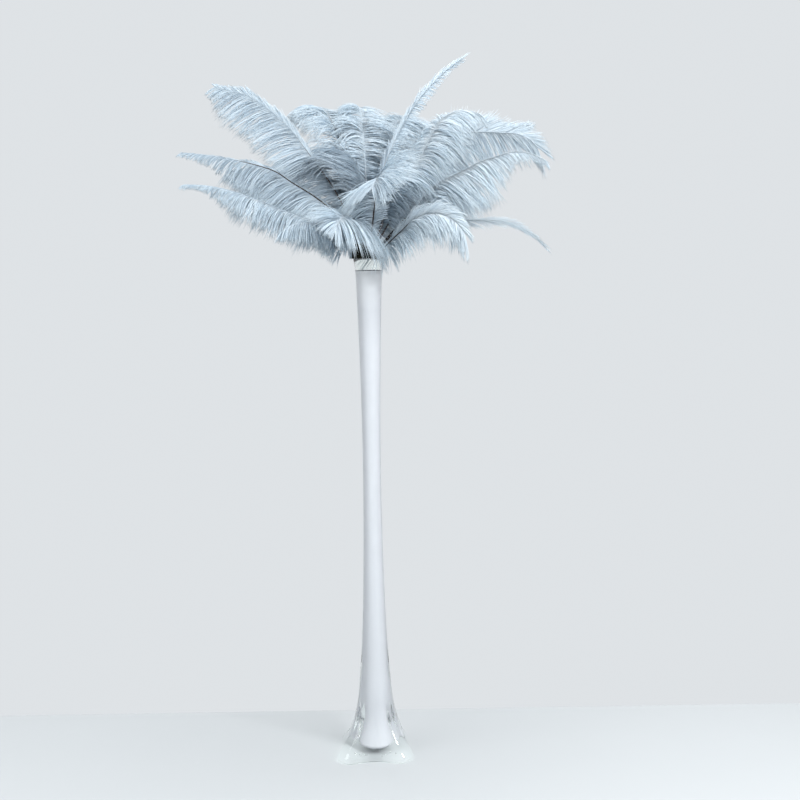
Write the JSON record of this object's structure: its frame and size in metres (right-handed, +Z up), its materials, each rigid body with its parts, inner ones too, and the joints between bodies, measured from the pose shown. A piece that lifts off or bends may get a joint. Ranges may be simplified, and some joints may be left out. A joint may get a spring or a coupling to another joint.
{
  "type": "ostrich feather arrangement in a glass tower vase",
  "caption": "Dusty blue ostrich plumes poked into a dark foam dome on the mouth of a tall, slim, flared glass tower vase with a four-toed foot; a table or event centrepiece.",
  "frame": {"origin": "centre of the flat underside of the vase's foot, which rests on the table", "axes": "+Z up along the vase, -Y towards the side that the picture was taken from, +X to the right as seen from there"},
  "size_m": [0.5296, 0.3974, 0.9947],
  "materials": {
    "vase_glass": "glossy clear glass over an opaque white inner layer, solid clear foot with a few bubbles",
    "foam": "matte dark olive open-cell foam",
    "plume": "dyed dusty blue ostrich barbs, soft sheen, near-black quills that fade towards the tips"
  },
  "bodies": {
    "root": {"vase": "vase_glass", "foam": "foam", "feather_left_high": "plume", "feather_left_mid": "plume", "feather_left_low": "plume", "feather_left_under": "plume", "feather_front_left": "plume", "feather_front_centre": "plume", "feather_front_right": "plume", "feather_right_tail": "plume", "feather_right_mid": "plume", "feather_right_high": "plume", "feather_right_arch": "plume", "feather_tall": "plume", "feather_centre_curl": "plume", "feather_back_hook": "plume", "feather_back_left_high": "plume", "feather_back_right_high": "plume", "feather_back_right_low": "plume", "feather_back_low_right": "plume", "feather_back_low_left": "plume", "feather_back_left_low": "plume", "feather_back_right_mid": "plume", "feather_back_mid": "plume", "feather_back_left_mid": "plume", "feather_far_left_mid": "plume"}
  },
  "joints": []
}
